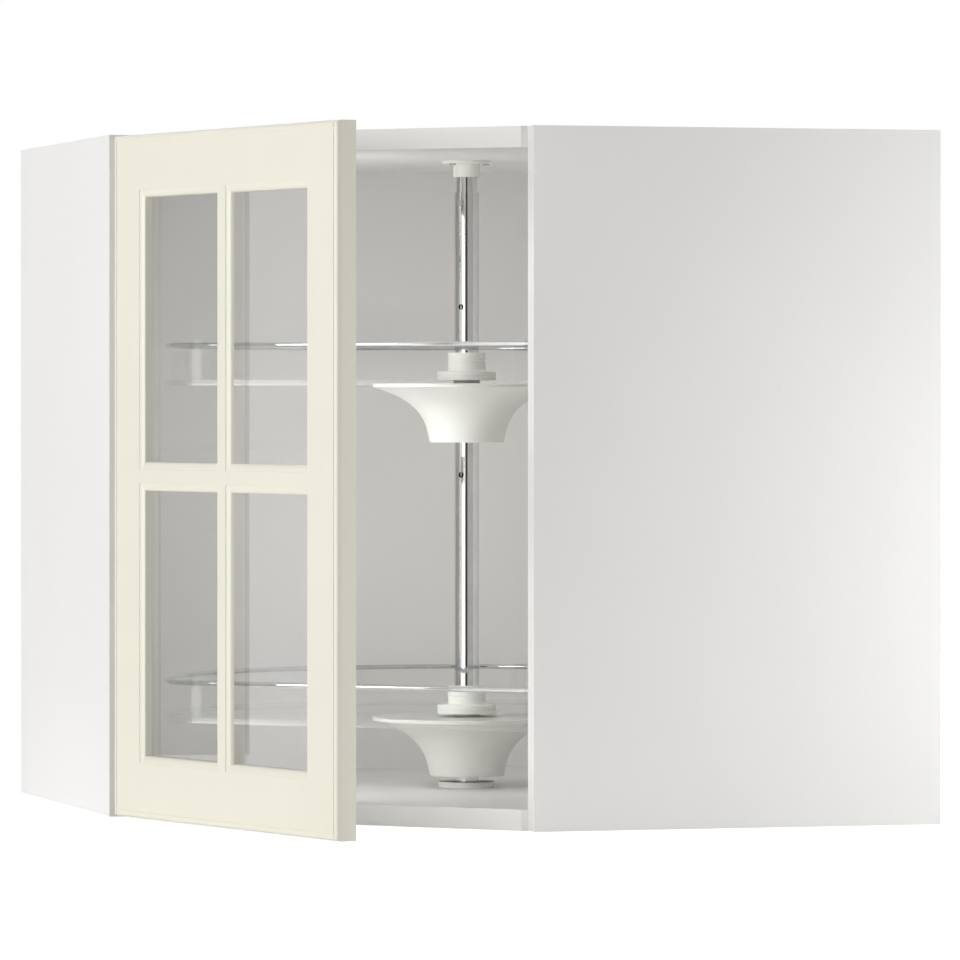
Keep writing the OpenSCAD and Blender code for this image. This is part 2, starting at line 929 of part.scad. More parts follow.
module tray(z) {
    skirt = 3;
    under = tray_rim_h - tray_plate_t;
    color(clear) translate([0, 0, z - tray_rim_h]) to_front() difference() {
        linear_extrude(tray_rim_h) tray_outline(tray_r, tray_front, tray_corner_r);
        translate([0, 0, -1]) linear_extrude(under + 1)
            tray_outline(tray_r - skirt, tray_front - skirt, tray_corner_r - skirt);
        translate([0, 0, -1]) cylinder(r = tube_d / 2 + 1, h = tray_rim_h + 2);
    }
}

// Wire along the tray's outline: one large arc, two corner arcs and a straight,
// welded end to end
module rail_wire(z) {
    corner = tray_corner_r - rail_inset;
    half = straight_half(rail_r, rail_front, corner);
    corner_y = rail_front - corner;
    lean = atan2(corner_y, half);
    translate([0, 0, z]) {
        rotate([0, 0, 180 - lean])
            rotate_extrude(angle = 180 + 2 * lean, $fn = 180)
            translate([rail_r, 0]) circle(d = wire_d, $fn = 24);
        for (side = [0, 1]) mirror([side, 0, 0])
            translate([half, corner_y, 0]) rotate([0, 0, lean])
            rotate_extrude(angle = 90 - lean, $fn = 48)
            translate([corner, 0]) circle(d = wire_d, $fn = 24);
        translate([-half, rail_front, 0]) rotate([0, 90, 0])
            cylinder(d = wire_d, h = 2 * half, $fn = 24);
        for (side = [-1, 1]) {
            translate([side * half, rail_front, 0]) sphere(d = wire_d + 0.3, $fn = 24);
            translate([side * rail_r * cos(lean), rail_r * sin(lean), 0])
                sphere(d = wire_d + 0.3, $fn = 24);
        }
    }
}

module tray_rail(z) {
    color(chrome) to_front() rail_wire(z + rail_rise);
}

// Clear post that grips the wire, standing on the tray
module rail_post(z) {
    grip = wire_d + 2 * post_grip;
    translate([-post_w / 2, -post_t / 2 - 1, z]) cube([post_w, post_t, rail_rise]);
    translate([-post_w / 2, -grip / 2 - 1, z + rail_rise - wire_d / 2 - post_grip])
        cube([post_w, grip, wire_d + 2 * post_grip]);
    translate([-post_w / 2, -grip / 2 - 1, z]) cube([post_w, grip, 2]);
}

module rail_posts(z) {
    color(clear) to_front() difference() {
        union() {
            for (x = [-front_post_at, front_post_at])
                translate([x, rail_front, 0]) rail_post(z);
            for (a = back_post_angles)
                rotate([0, 0, 180 + a]) translate([0, rail_r, 0]) rail_post(z);
        }
        rail_wire(z + rail_rise);
    }
}

// Radius of the trumpet at a depth below the tray, from its foot to its rim
function trumpet_r(d) = let (u = min(1, d / hub_h))
    hub_foot_r + (hub_rim_r - 1 - hub_foot_r) * pow(1 - u, 0.18) * exp(-3.3 * u);

// Trumpet-shaped hub under a tray: a thin shell round a sleeve for the tube
module hub(z) {
    top = z - tray_plate_t;
    rim_h = 1.6;
    depths = [for (i = [0 : 14]) rim_h + (hub_h - rim_h) * pow(i / 14, 1.6)];
    outer = [for (d = depths) [trumpet_r(d - rim_h), -d]];
    inside = [for (i = [14 : -2 : 2]) let (d = depths[i])
        [trumpet_r(d - rim_h) - 2.4 - 0.6 * (1 - d / hub_h), i == 14 ? -d : -d + 2.2]];
    inner_top = -2.4;
    recess_r = stop_ring_r + 1;
    sleeve_r = recess_r + 3;
    recess_z = -hub_h + stop_ring_h + 3.3;
    bore = tube_d / 2 + bore_play;
    color(white_plastic) translate([0, 0, top]) rotate_extrude($fn = 96)
        polygon(concat(
            [[bore, 0], [hub_rim_r, 0], [hub_rim_r, -rim_h + 0.4]], outer,
            [for (p = inside) if (p.y < inner_top - 0.5) p],
            [[trumpet_r(0) - 16, inner_top], [sleeve_r, inner_top], [sleeve_r, -hub_h],
             [recess_r, -hub_h], [recess_r, recess_z], [bore, recess_z]]
        ));
}

module collar(z) {
    bore = tube_d / 2 + bore_play;
    color(white_plastic) translate([0, 0, z]) rotate_extrude($fn = 96)
        polygon([[bore, 0], [collar_foot_r, 0], [collar_foot_r, collar_foot_h - 1],
                 [collar_foot_r - 1, collar_foot_h], [collar_r + 1, collar_foot_h],
                 [collar_r, collar_foot_h + 1], [collar_r, collar_h - 1],
                 [collar_r - 1, collar_h], [bore, collar_h]]);
}

module upper_tray() {
    tray(tray_heights()[1]);
}

module upper_tray_rail() {
    tray_rail(tray_heights()[1]);
}

module upper_rail_posts() {
    rail_posts(tray_heights()[1]);
}

module upper_hub() {
    hub(tray_heights()[1]);
}

module upper_collar() {
    collar(tray_heights()[1]);
}

module lower_tray() {
    tray(tray_heights()[0]);
}

module lower_tray_rail() {
    tray_rail(tray_heights()[0]);
}

module lower_rail_posts() {
    rail_posts(tray_heights()[0]);
}

module lower_hub() {
    hub(tray_heights()[0]);
}

module lower_collar() {
    collar(tray_heights()[0]);
}

left_side_panel();
right_side_panel();
top_panel();
bottom_panel();
rear_back_panel();
right_back_panel();
rear_corner_post();
rear_hanging_rail();
right_hanging_rail();
hanging_rail_screws();
panel_dowels();
cam_bolts();
cam_discs();
upper_hinge_arm();
lower_hinge_arm();
hinge_arm_screws();
hinge_arm_pins();
ceiling_flange();
floor_flange();
flange_screws();
outer_tube();
inner_tube();
upper_stop_ring();
lower_stop_ring();
stop_pins();
tube_lock_button();
upper_tray();
upper_tray_rail();
upper_rail_posts();
upper_hub();
upper_collar();
lower_tray();
lower_tray_rail();
lower_rail_posts();
lower_hub();
lower_collar();
upper_hinge_link();
lower_hinge_link();
hinge_stile();
free_stile();
door_top_rail();
door_bottom_rail();
vertical_glazing_bar();
horizontal_glazing_bars();
glass_pane();
glazing_beads();
upper_hinge_cup();
lower_hinge_cup();
hinge_cup_screws();
hinge_cup_pins();
door_bumpers();
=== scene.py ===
import json
import math

import bmesh
import bpy
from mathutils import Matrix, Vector


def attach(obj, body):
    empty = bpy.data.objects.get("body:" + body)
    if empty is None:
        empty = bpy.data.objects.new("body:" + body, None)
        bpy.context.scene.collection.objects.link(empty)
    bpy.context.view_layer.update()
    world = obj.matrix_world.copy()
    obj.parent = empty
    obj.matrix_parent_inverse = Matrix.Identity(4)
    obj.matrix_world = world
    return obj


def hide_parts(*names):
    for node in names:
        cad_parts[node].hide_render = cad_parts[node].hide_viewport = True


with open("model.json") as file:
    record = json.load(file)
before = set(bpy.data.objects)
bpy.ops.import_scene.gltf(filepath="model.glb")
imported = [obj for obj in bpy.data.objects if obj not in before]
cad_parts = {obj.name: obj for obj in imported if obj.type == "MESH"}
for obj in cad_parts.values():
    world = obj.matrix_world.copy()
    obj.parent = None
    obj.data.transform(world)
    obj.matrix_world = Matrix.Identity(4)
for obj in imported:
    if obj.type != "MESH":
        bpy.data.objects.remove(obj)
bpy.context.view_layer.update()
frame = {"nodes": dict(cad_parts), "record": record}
N = frame["nodes"]
MM = 0.001
scene = bpy.context.scene
SUBPARTS = {s["node"]: s for s in frame["record"]["subparts"]}


# ---------------------------------------------------------------- materials


class Mat:
    """A node material with a Principled shader and short ways to add nodes."""

    def __init__(self, name, **sockets):
        self.m = bpy.data.materials.new(name)
        self.m.use_nodes = True
        self.nt = self.m.node_tree
        self.bsdf = self.nt.nodes["Principled BSDF"]
        for key, value in sockets.items():
            self.bsdf.inputs[key.replace("_", " ")].default_value = value
        self.coord = self.node("ShaderNodeTexCoord")

    def node(self, kind, **values):
        n = self.nt.nodes.new(kind)
        for key, value in values.items():
            if key in n.inputs:
                n.inputs[key].default_value = value
            else:
                setattr(n, key, value)
        return n

    def link(self, a, b):
        self.nt.links.new(a, b)

    def out(self):
        return [n for n in self.nt.nodes if n.type == "OUTPUT_MATERIAL"][0]

    def noise(self, scale, detail=3.0, rough=0.5, stretch=(1, 1, 1)):
        mp = self.node("ShaderNodeMapping")
        mp.inputs["Scale"].default_value = stretch
        self.link(self.coord.outputs["Object"], mp.inputs["Vector"])
        n = self.node("ShaderNodeTexNoise")
        n.inputs["Scale"].default_value = scale
        n.inputs["Detail"].default_value = detail
        n.inputs["Roughness"].default_value = rough
        self.link(mp.outputs["Vector"], n.inputs["Vector"])
        return n.outputs["Fac"]

    def ramp(self, fac, stops):
        r = self.node("ShaderNodeValToRGB")
        r.color_ramp.interpolation = "EASE"
        els = r.color_ramp.elements
        while len(els) < len(stops):
            els.new(0.5)
        for el, (pos, col) in zip(els, stops):
            el.position = pos
            el.color = tuple(col) + (1,) if len(col) == 3 else col
        self.link(fac, r.inputs["Fac"])
        return r.outputs["Color"]

    def value_map(self, fac, low, high, a=0.3, b=0.7):
        n = self.node("ShaderNodeMapRange")
        n.inputs["From Min"].default_value = a
        n.inputs["From Max"].default_value = b
        n.inputs["To Min"].default_value = low
        n.inputs["To Max"].default_value = high
        self.link(fac, n.inputs["Value"])
        return n.outputs["Result"]

    def bump(self, height, strength, distance, normal=None):
        n = self.node("ShaderNodeBump")
        n.inputs["Strength"].default_value = strength
        n.inputs["Distance"].default_value = distance
        self.link(height, n.inputs["Height"])
        if normal is not None:
            self.link(normal, n.inputs["Normal"])
        return n.outputs["Normal"]


def srgb(*v):
    def one(c):
        c = c / 255.0
        return c / 12.92 if c <= 0.04045 else ((c + 0.055) / 1.055) ** 2.4

    return tuple(one(c) for c in v)


def shade(rgb, k):
    return tuple(max(0.0, min(1.0, c * k)) for c in rgb)


def coated(name, rgb, rough=0.42, pearl=0.05):
    """Melamine-coated board: a fine pearl texture and a faint unevenness in its tone."""
    m = Mat(name, IOR=1.5)
    big = m.noise(3.0, 2.0)
    m.link(
        m.ramp(big, [(0.3, shade(rgb, 0.985)), (0.7, shade(rgb, 1.012))]),
        m.bsdf.inputs["Base Color"],
    )
    fine = m.noise(2600.0, 2.0)
    m.link(m.value_map(fine, rough - 0.05, rough + 0.06), m.bsdf.inputs["Roughness"])
    m.link(m.bump(fine, pearl, 0.00012), m.bsdf.inputs["Normal"])
    return m.m


def lacquer(name, rgb):
    """Sprayed satin lacquer: a slight orange peel and a faint variation in tone."""
    m = Mat(name, IOR=1.5)
    big = m.noise(5.0, 2.0)
    m.link(
        m.ramp(big, [(0.3, shade(rgb, 0.99)), (0.7, shade(rgb, 1.01))]),
        m.bsdf.inputs["Base Color"],
    )
    peel = m.noise(420.0, 2.0)
    grain = m.noise(90.0, 4.0, 0.6, (1, 1, 0.06))
    m.link(m.value_map(grain, 0.36, 0.44), m.bsdf.inputs["Roughness"])
    first = m.bump(grain, 0.04, 0.0002)
    m.link(m.bump(peel, 0.05, 0.0002, first), m.bsdf.inputs["Normal"])
    return m.m


def moulded(name, rgb, rough=0.3):
    """Injection-moulded white plastic with a soft gloss and faint flow marks."""
    m = Mat(name, IOR=1.49)
    m.bsdf.inputs["Subsurface Weight"].default_value = 0.06
    m.bsdf.inputs["Subsurface Radius"].default_value = (0.004, 0.004, 0.003)
    m.bsdf.inputs["Subsurface Scale"].default_value = 0.3
    flow = m.noise(22.0, 3.0, 0.5, (1, 1, 0.5))
    m.link(
        m.ramp(flow, [(0.15, shade(rgb, 0.985)), (0.85, shade(rgb, 1.01))]),
        m.bsdf.inputs["Base Color"],
    )
    skin = m.noise(900.0, 2.0)
    m.link(
        m.value_map(flow, rough - 0.04, rough + 0.05, 0.15, 0.85),
        m.bsdf.inputs["Roughness"],
    )
    m.link(m.bump(skin, 0.04, 0.0001), m.bsdf.inputs["Normal"])
    return m.m


def metal(name, rgb, rough, stretch=(1, 1, 1), scale=300.0, bump=0.03):
    """Metal with fine drawn or brushed streaks in its roughness."""
    m = Mat(name, Metallic=1.0)
    streak = m.noise(scale, 3.0, 0.6, stretch)
    cloud = m.noise(40.0, 2.0)
    m.link(
        m.ramp(cloud, [(0.3, shade(rgb, 0.97)), (0.7, shade(rgb, 1.02))]),
        m.bsdf.inputs["Base Color"],
    )
    m.link(
        m.value_map(streak, max(0.01, rough * 0.8), rough * 1.3),
        m.bsdf.inputs["Roughness"],
    )
    m.link(m.bump(streak, bump, 0.0001), m.bsdf.inputs["Normal"])
    return m.m


def clear(name, rgb, body, rough, ior, scale=14.0, strength=0.02):
    """Clear sheet or moulding with a tint, gloss, faint waves and a little haze."""
    m = Mat(name, IOR=ior)
    m.bsdf.inputs["Transmission Weight"].default_value = body
    wave = m.noise(scale, 2.0)
    m.link(
        m.ramp(wave, [(0.3, shade(rgb, 0.99)), (0.7, shade(rgb, 1.0))]),
        m.bsdf.inputs["Base Color"],
    )
    m.link(m.value_map(wave, rough, rough * 1.5), m.bsdf.inputs["Roughness"])
    m.link(m.bump(wave, strength, 0.0004), m.bsdf.inputs["Normal"])
    see = m.node("ShaderNodeBsdfTransparent")
    see.inputs["Color"].default_value = tuple(shade(rgb, 1.0)) + (1,)
    mix = m.node("ShaderNodeMixShader")
    path = m.node("ShaderNodeLightPath")
    add = m.node("ShaderNodeMath", operation="MAXIMUM")
    m.link(path.outputs["Is Shadow Ray"], add.inputs[0])
    m.link(path.outputs["Is Diffuse Ray"], add.inputs[1])
    m.link(add.outputs[0], mix.inputs["Fac"])
    m.link(m.bsdf.outputs[0], mix.inputs[1])
    m.link(see.outputs[0], mix.inputs[2])
    m.link(mix.outputs[0], m.out().inputs["Surface"])
    return m.m


def sheer(name, rgb, cover):
    """Thin clear plastic: mostly see-through, with a gloss and a milky trace."""
    m = Mat(name, IOR=1.49, Alpha=cover)
    wave = m.noise(14.0, 2.0)
    m.link(
        m.ramp(wave, [(0.3, shade(rgb, 0.97)), (0.7, shade(rgb, 1.0))]),
        m.bsdf.inputs["Base Color"],
    )
    m.link(m.value_map(wave, 0.06, 0.12), m.bsdf.inputs["Roughness"])
    m.link(m.bump(wave, 0.01, 0.0004), m.bsdf.inputs["Normal"])
    return m.m


def wood(name, rgb):
    m = Mat(name, IOR=1.45)
    grain = m.noise(60.0, 5.0, 0.6, (1, 1, 0.08))
    m.link(
        m.ramp(grain, [(0.3, shade(rgb, 0.82)), (0.7, shade(rgb, 1.08))]),
        m.bsdf.inputs["Base Color"],
    )
    m.link(m.value_map(grain, 0.55, 0.75), m.bsdf.inputs["Roughness"])
    m.link(m.bump(grain, 0.2, 0.0003), m.bsdf.inputs["Normal"])
    return m.m


def soft_rubber(name, rgb):
    m = Mat(name, IOR=1.45)
    dots = m.noise(700.0, 2.0)
    m.link(
        m.ramp(dots, [(0.3, shade(rgb, 0.95)), (0.7, shade(rgb, 1.02))]),
        m.bsdf.inputs["Base Color"],
    )
    m.link(m.value_map(dots, 0.4, 0.55), m.bsdf.inputs["Roughness"])
    m.link(m.bump(dots, 0.05, 0.0001), m.bsdf.inputs["Normal"])
    return m.m


M = {
    "coated_panel": coated("coated_panel", srgb(243, 242, 240)),
    "back_panel": coated("back_panel", srgb(237, 235, 233), 0.5),
    "raw_wood": wood("raw_wood", srgb(214, 190, 152)),
    "steel": metal("steel", (0.62, 0.62, 0.61), 0.3, (1, 1, 0.1)),
    "chrome": metal("chrome", (0.76, 0.77, 0.78), 0.04, (1, 1, 0.03), 500.0, 0.0005),
    "white_plastic": moulded("white_plastic", srgb(243, 243, 239)),
    "clear_plastic": sheer("clear_plastic", srgb(236, 238, 234), 0.1),
    "cream_paint": lacquer("cream_paint", srgb(240, 237, 222)),
    "glass": clear("glass", (0.965, 0.97, 0.965), 1.0, 0.0, 1.52, 5.0, 0.004),
    "bumper": soft_rubber("bumper", srgb(232, 232, 226)),
}


# The slim posts are the same plastic, but too thin to look milky
CLEAREST = sheer("clear_plastic_thin", srgb(236, 238, 234), 0.04)


# ---------------------------------------------------------------- pieces


def finish_mesh(o, sharp=35.0):
    """Smooth shading with sharp edges where faces meet at more than an angle."""
    me = o.data
    me.polygons.foreach_set("use_smooth", [True] * len(me.polygons))
    me.set_sharp_from_angle(angle=math.radians(sharp))


def stand_for(o, node):
    """The piece rides where its node rides, takes its slot, and stands for it."""
    sub = SUBPARTS[node]
    o.data.materials.clear()
    o.data.materials.append(M[sub["material_slot"]])
    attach(o, BODY[node])
    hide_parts(node)
    return o


def new_object(name, bm):
    me = bpy.data.meshes.new(name)
    bm.to_mesh(me)
    bm.free()
    o = bpy.data.objects.new(name, me)
    scene.collection.objects.link(o)
    return o


BODY = {
    node: body
    for body, nodes in frame["record"]["behaviour"]["bodies"].items()
    for node in nodes
}


EDGE_SEGMENTS = 2
HARD_ANGLE = 40.0
SHARP_AFTER_EASING = 24.0


def softened(node, width):
    """A copy of a node's solid with its hard edges eased, which stands for it."""
    bm = bmesh.new()
    bm.from_mesh(N[node].data)
    bmesh.ops.remove_doubles(bm, verts=bm.verts, dist=1e-6)
    bmesh.ops.dissolve_limit(
        bm, angle_limit=math.radians(0.5), verts=bm.verts, edges=bm.edges
    )
    hard = [
        e
        for e in bm.edges
        if len(e.link_faces) == 2 and e.calc_face_angle(0.0) > math.radians(HARD_ANGLE)
    ]
    bmesh.ops.bevel(
        bm,
        geom=hard,
        offset=width * MM,
        offset_type="OFFSET",
        segments=EDGE_SEGMENTS,
        profile=0.5,
        affect="EDGES",
        clamp_overlap=True,
    )
    o = new_object(node + "_eased", bm)
    finish_mesh(o, SHARP_AFTER_EASING)
    even = o.modifiers.new("even_faces", "WEIGHTED_NORMAL")
    even.weight = 100
    even.keep_sharp = True
    return stand_for(o, node)


TURNED_STEPS = 160


def lathe(name, profile, node, z):
    """A closed profile of (radius, height) in mm turned round the carousel's axis."""
    bm = bmesh.new()
    rings = []
    for i in range(TURNED_STEPS):
        a = 2 * math.pi * i / TURNED_STEPS
        x, y = math.cos(a), math.sin(a)
        rings.append(
            [bm.verts.new((r * x * MM, r * y * MM, (z + h) * MM)) for r, h in profile]
        )
    count = len(profile)
    for i in range(TURNED_STEPS):
        a, b = rings[i], rings[(i + 1) % TURNED_STEPS]
        for k in range(count):
            j = (k + 1) % count
            bm.faces.new((a[k], b[k], b[j], a[j]))
    bmesh.ops.recalc_face_normals(bm, faces=bm.faces)
    o = new_object(name, bm)
    finish_mesh(o)
    return stand_for(o, node)


def rounded(points, radius, steps=5):
    """A closed outline with its corners rounded; radius is one value or one each."""
    out = []
    n = len(points)
    for i, p in enumerate(points):
        r = radius[i] if isinstance(radius, (list, tuple)) else radius
        p = Vector(p)
        a, b = Vector(points[i - 1]) - p, Vector(points[(i + 1) % n]) - p
        if r <= 0 or a.length == 0 or b.length == 0:
            out.append(tuple(p))
            continue
        half = a.angle(b) / 2
        cut = min(r / math.tan(half), a.length * 0.49, b.length * 0.49)
        start, end = p + a.normalized() * cut, p + b.normalized() * cut
        for s in range(steps + 1):
            t = s / steps
            q = start * (1 - t) ** 2 + p * 2 * t * (1 - t) + end * t**2
            out.append(tuple(q))
    return out


# The carousel's turned mouldings, with the same main sizes as the solids
TUBE_R = 11.0
BORE = TUBE_R + 0.06
SLEEVE_R = TUBE_R + 0.85
PLATE_T = 3.0
HUB_H = 53.0
HUB_RIM = 85.0
HUB_FOOT = 32.0
RIM_H = 3.4
TRAY_Z = {"lower": 84.4, "upper": 384.4}
STOP_R = 16.0
STOP_H = 7.0


def trumpet(depth):
    u = min(1.0, depth / HUB_H)
    swell = (HUB_RIM - 1 - HUB_FOOT) * (1 - u) ** 0.18 * math.exp(-3.3 * u)
    return HUB_FOOT + swell


def hub(tier):
    depth = [RIM_H + (HUB_H - RIM_H) * (i / 60) ** 1.6 for i in range(61)]
    outer = [(trumpet(d - RIM_H), -d) for d in depth]
    inner = [
        (trumpet(d - RIM_H) - 2.4 - 0.6 * (1 - d / HUB_H), -d + (0 if i == 60 else 2.2))
        for i, d in enumerate(depth)
    ]
    inner = [p for p in reversed(inner[:-1]) if p[1] < -2.9]
    sleeve = STOP_R + 4
    recess = -HUB_H + STOP_H + 3.3
    foot = outer[-1][0]
    profile = (
        [(BORE, PLATE_T - 0.1), (SLEEVE_R, PLATE_T - 0.1), (SLEEVE_R, 0)]
        + [(HUB_RIM - 0.5, 0), (HUB_RIM, -0.4)]
        + [(HUB_RIM, -RIM_H + 0.3)]
        + outer[:-1]
        + [(foot, -HUB_H + 0.5), (foot - 0.5, -HUB_H), (foot - 1.9, -HUB_H)]
        + [(foot - 2.4, -HUB_H + 0.5)]
        + inner
        + [(trumpet(0) - 16, -2.4), (sleeve + 1, -2.4), (sleeve, -3.4)]
        + [(sleeve, -HUB_H), (STOP_R + 1, -HUB_H), (STOP_R + 1, recess), (BORE, recess)]
    )
    node = tier + "_hub"
    lathe(node + "_moulding", profile, node, z=TRAY_Z[tier] - PLATE_T)


def collar(tier):
    r, foot, foot_h, h = 17.0, 26.5, 8.0, 25.0
    outline = [(BORE, 0), (foot, 0), (foot, foot_h), (r, foot_h), (r, h), (BORE, h)]
    corners = rounded(outline, [0.2, 0.3, 1.2, 1.6, 1.2, 0.5], 5)
    lines = []
    for height in (12.5, 15.8, 19.1):
        lines += [(r, height - 0.5), (r - 0.45, height - 0.25)]
        lines += [(r - 0.45, height + 0.25), (r, height + 0.5)]
    cut = next(
        i
        for i, p in enumerate(corners)
        if p[1] > 20 and p[0] > r - 0.5 and corners[i - 1][1] < 12
    )
    profile = corners[:cut] + lines + corners[cut:]
    foot_lines = next(
        i for i, p in enumerate(profile) if p[1] > 5 and p[0] > foot - 1
    )
    groove = [(foot, 3.0), (foot - 0.4, 3.25), (foot - 0.4, 3.75), (foot, 4.0)]
    profile = profile[:foot_lines] + groove + profile[foot_lines:]
    node = tier + "_collar"
    lathe(node + "_moulding", profile, node, z=TRAY_Z[tier])


for tier in ("upper", "lower"):
    hub(tier)
    collar(tier)

# The wire rails, as one smooth round wire each, along the same line as the solids
WIRE_R = 2.25
RAIL_R = 268.5
RAIL_FRONT = 190.5
RAIL_CORNER = 26.5
RAIL_RISE = 31.0


def wire_line():
    """The rail's centre line in plan: one long arc, two corners and the front."""
    reach = RAIL_FRONT - RAIL_CORNER
    half = math.sqrt((RAIL_R - RAIL_CORNER) ** 2 - reach**2)
    lean = math.atan2(reach, half)
    line = []
    for i in range(241):
        a = math.pi - lean + (math.pi + 2 * lean) * i / 240
        line.append((RAIL_R * math.cos(a), RAIL_R * math.sin(a)))
    for side in (1, -1):
        for i in range(1, 25):
            k = i / 24 if side > 0 else 1 - i / 24
            a = lean + (math.pi / 2 - lean) * k
            x = side * (half + RAIL_CORNER * math.cos(a))
            line.append((x, reach + RAIL_CORNER * math.sin(a)))
        if side > 0:
            for i in range(1, 41):
                line.append((half - 2 * half * i / 40, RAIL_FRONT))
    return line


def wire(tier):
    line = wire_line()
    count, around_wire = len(line), 24
    turn = math.radians(135)
    bm = bmesh.new()
    rings = []
    for i, (x, y) in enumerate(line):
        ahead, behind = line[(i + 1) % count], line[i - 1]
        along = Vector((ahead[0] - behind[0], ahead[1] - behind[1])).normalized()
        ring = []
        for k in range(around_wire):
            a = 2 * math.pi * k / around_wire
            px = x + WIRE_R * math.cos(a) * along.y
            py = y - WIRE_R * math.cos(a) * along.x
            pz = TRAY_Z[tier] + RAIL_RISE + WIRE_R * math.sin(a)
            wx = -px * math.cos(turn) - py * math.sin(turn)
            wy = -px * math.sin(turn) + py * math.cos(turn)
            ring.append(bm.verts.new((wx * MM, wy * MM, pz * MM)))
        rings.append(ring)
    for i in range(count):
        a, b = rings[i], rings[(i + 1) % count]
        for k in range(around_wire):
            j = (k + 1) % around_wire
            bm.faces.new((a[k], b[k], b[j], a[j]))
    bmesh.ops.recalc_face_normals(bm, faces=bm.faces)
    o = new_object(tier + "_rail_wire", bm)
    finish_mesh(o, 60.0)
    stand_for(o, tier + "_tray_rail")


for tier in ("upper", "lower"):
    wire(tier)

EASED = {
    "left_side_panel": 0.8,
    "right_side_panel": 0.8,
    "top_panel": 0.6,
    "bottom_panel": 0.6,
    "hinge_stile": 0.35,
    "free_stile": 0.35,
    "door_top_rail": 0.35,
    "door_bottom_rail": 0.35,
    "vertical_glazing_bar": 0.3,
    "horizontal_glazing_bars": 0.3,
    "glazing_beads": 0.5,
    "glass_pane": 0.3,
    "upper_rail_posts": 0.35,
    "lower_rail_posts": 0.35,
    "upper_tray": 0.5,
    "lower_tray": 0.5,
    "ceiling_flange": 0.5,
    "floor_flange": 0.6,
    "upper_hinge_arm": 0.25,
    "lower_hinge_arm": 0.25,
    "upper_hinge_link": 0.2,
    "lower_hinge_link": 0.2,
    "upper_hinge_cup": 0.15,
    "lower_hinge_cup": 0.15,
    "rear_hanging_rail": 0.3,
    "right_hanging_rail": 0.3,
    "door_bumpers": 0.4,
}
for node, width in EASED.items():
    eased = softened(node, width)
    if node.endswith("rail_posts"):
        eased.data.materials[0] = CLEAREST

for node, sub in SUBPARTS.items():
    o = N[node]
    o.data.materials.clear()
    o.data.materials.append(M[sub["material_slot"]])


# ---------------------------------------------------------------- stage


def sight_rays(tree):
    """One for camera, glossy and transmission rays, and nothing for the others."""
    path = tree.nodes.new("ShaderNodeLightPath")
    value = path.outputs["Is Camera Ray"]
    for other in ("Is Glossy Ray", "Is Transmission Ray"):
        either = tree.nodes.new("ShaderNodeMath")
        either.operation = "MAXIMUM"
        tree.links.new(value, either.inputs[0])
        tree.links.new(path.outputs[other], either.inputs[1])
        value = either.outputs[0]
    return value


def emit_mix(name, rgb, share):
    """Pale floor: partly its own white for the camera, the rest keeps shadows."""
    m = Mat(name, Roughness=0.9)
    m.bsdf.inputs["Specular IOR Level"].default_value = 0.0
    speck = m.noise(6.0, 2.0)
    m.link(
        m.ramp(speck, [(0.3, shade(rgb, 0.99)), (0.7, shade(rgb, 1.0))]),
        m.bsdf.inputs["Base Color"],
    )
    amount = m.node("ShaderNodeMath", operation="MULTIPLY")
    amount.inputs[1].default_value = share
    m.link(sight_rays(m.nt), amount.inputs[0])
    white = m.node("ShaderNodeEmission")
    mix = m.node("ShaderNodeAddShader")
    m.link(m.bsdf.outputs[0], mix.inputs[0])
    m.link(white.outputs[0], mix.inputs[1])
    m.link(amount.outputs[0], white.inputs["Strength"])
    m.link(mix.outputs[0], m.out().inputs["Surface"])
    return m.m


def plane(name, size, z, mat):
    bm = bmesh.new()
    bmesh.ops.create_grid(bm, x_segments=1, y_segments=1, size=size)
    o = new_object(name, bm)
    o.location.z = z
    o.data.materials.append(mat)
    return o


FLOOR_HALF = 30
FLOOR_Z = -0.0004
FLOOR_TONE = (0.9, 0.9, 0.9)
FLOOR_GLOW = 0.8
floor = plane("floor", FLOOR_HALF, FLOOR_Z, emit_mix("pale_floor", FLOOR_TONE, FLOOR_GLOW))


def card(name, corners, mat):
    """A flat card that only reflections see."""
    bm = bmesh.new()
    bm.faces.new([bm.verts.new(c) for c in corners])
    o = new_object(name, bm)
    o.data.materials.append(mat)
    o.visible_camera = False
    o.visible_diffuse = False
    o.visible_shadow = False
    o.visible_transmission = False
    o.visible_volume_scatter = False
    return o


def upright_card(name, start, end, high, mat):
    """An upright card from start to end in plan, standing on the floor."""
    corners = [(*start, 0.0), (*end, 0.0), (*end, high), (*start, high)]
    return card(name, corners, mat)


def dark_card(name, tone):
    """Dark felt, which puts dark lines in polished parts."""
    m = Mat(name, Roughness=0.9)
    m.bsdf.inputs["Specular IOR Level"].default_value = 0.0
    weave = m.noise(30.0, 2.0)
    m.link(
        m.ramp(weave, [(0.3, (tone * 0.9,) * 3), (0.7, (tone,) * 3)]),
        m.bsdf.inputs["Base Color"],
    )
    return m.m


def bright_card(name, strength):
    """A white reflector, which puts bright lines in polished parts."""
    m = Mat(name, Roughness=0.9)
    cloth = m.noise(4.0, 2.0)
    lamp = m.node("ShaderNodeEmission")
    m.link(m.value_map(cloth, strength * 0.98, strength), lamp.inputs["Strength"])
    m.link(lamp.outputs[0], m.out().inputs["Surface"])
    return m.m


# Name, start and end in plan, height and material
CARDS = [
    ("left_flag", (-1.101, 0.591), (-0.775, 0.902), 2.2, dark_card("left_felt", 0.03)),
    ("front_flag", (-0.99, -1.1), (-0.209, -1.485), 1.6, dark_card("front_felt", 0.12)),
    ("left_reflector", (-1.4, -0.25), (-1.0, -1.07), 1.6, bright_card("reflector", 1.8)),
]
for one in CARDS:
    upright_card(*one)

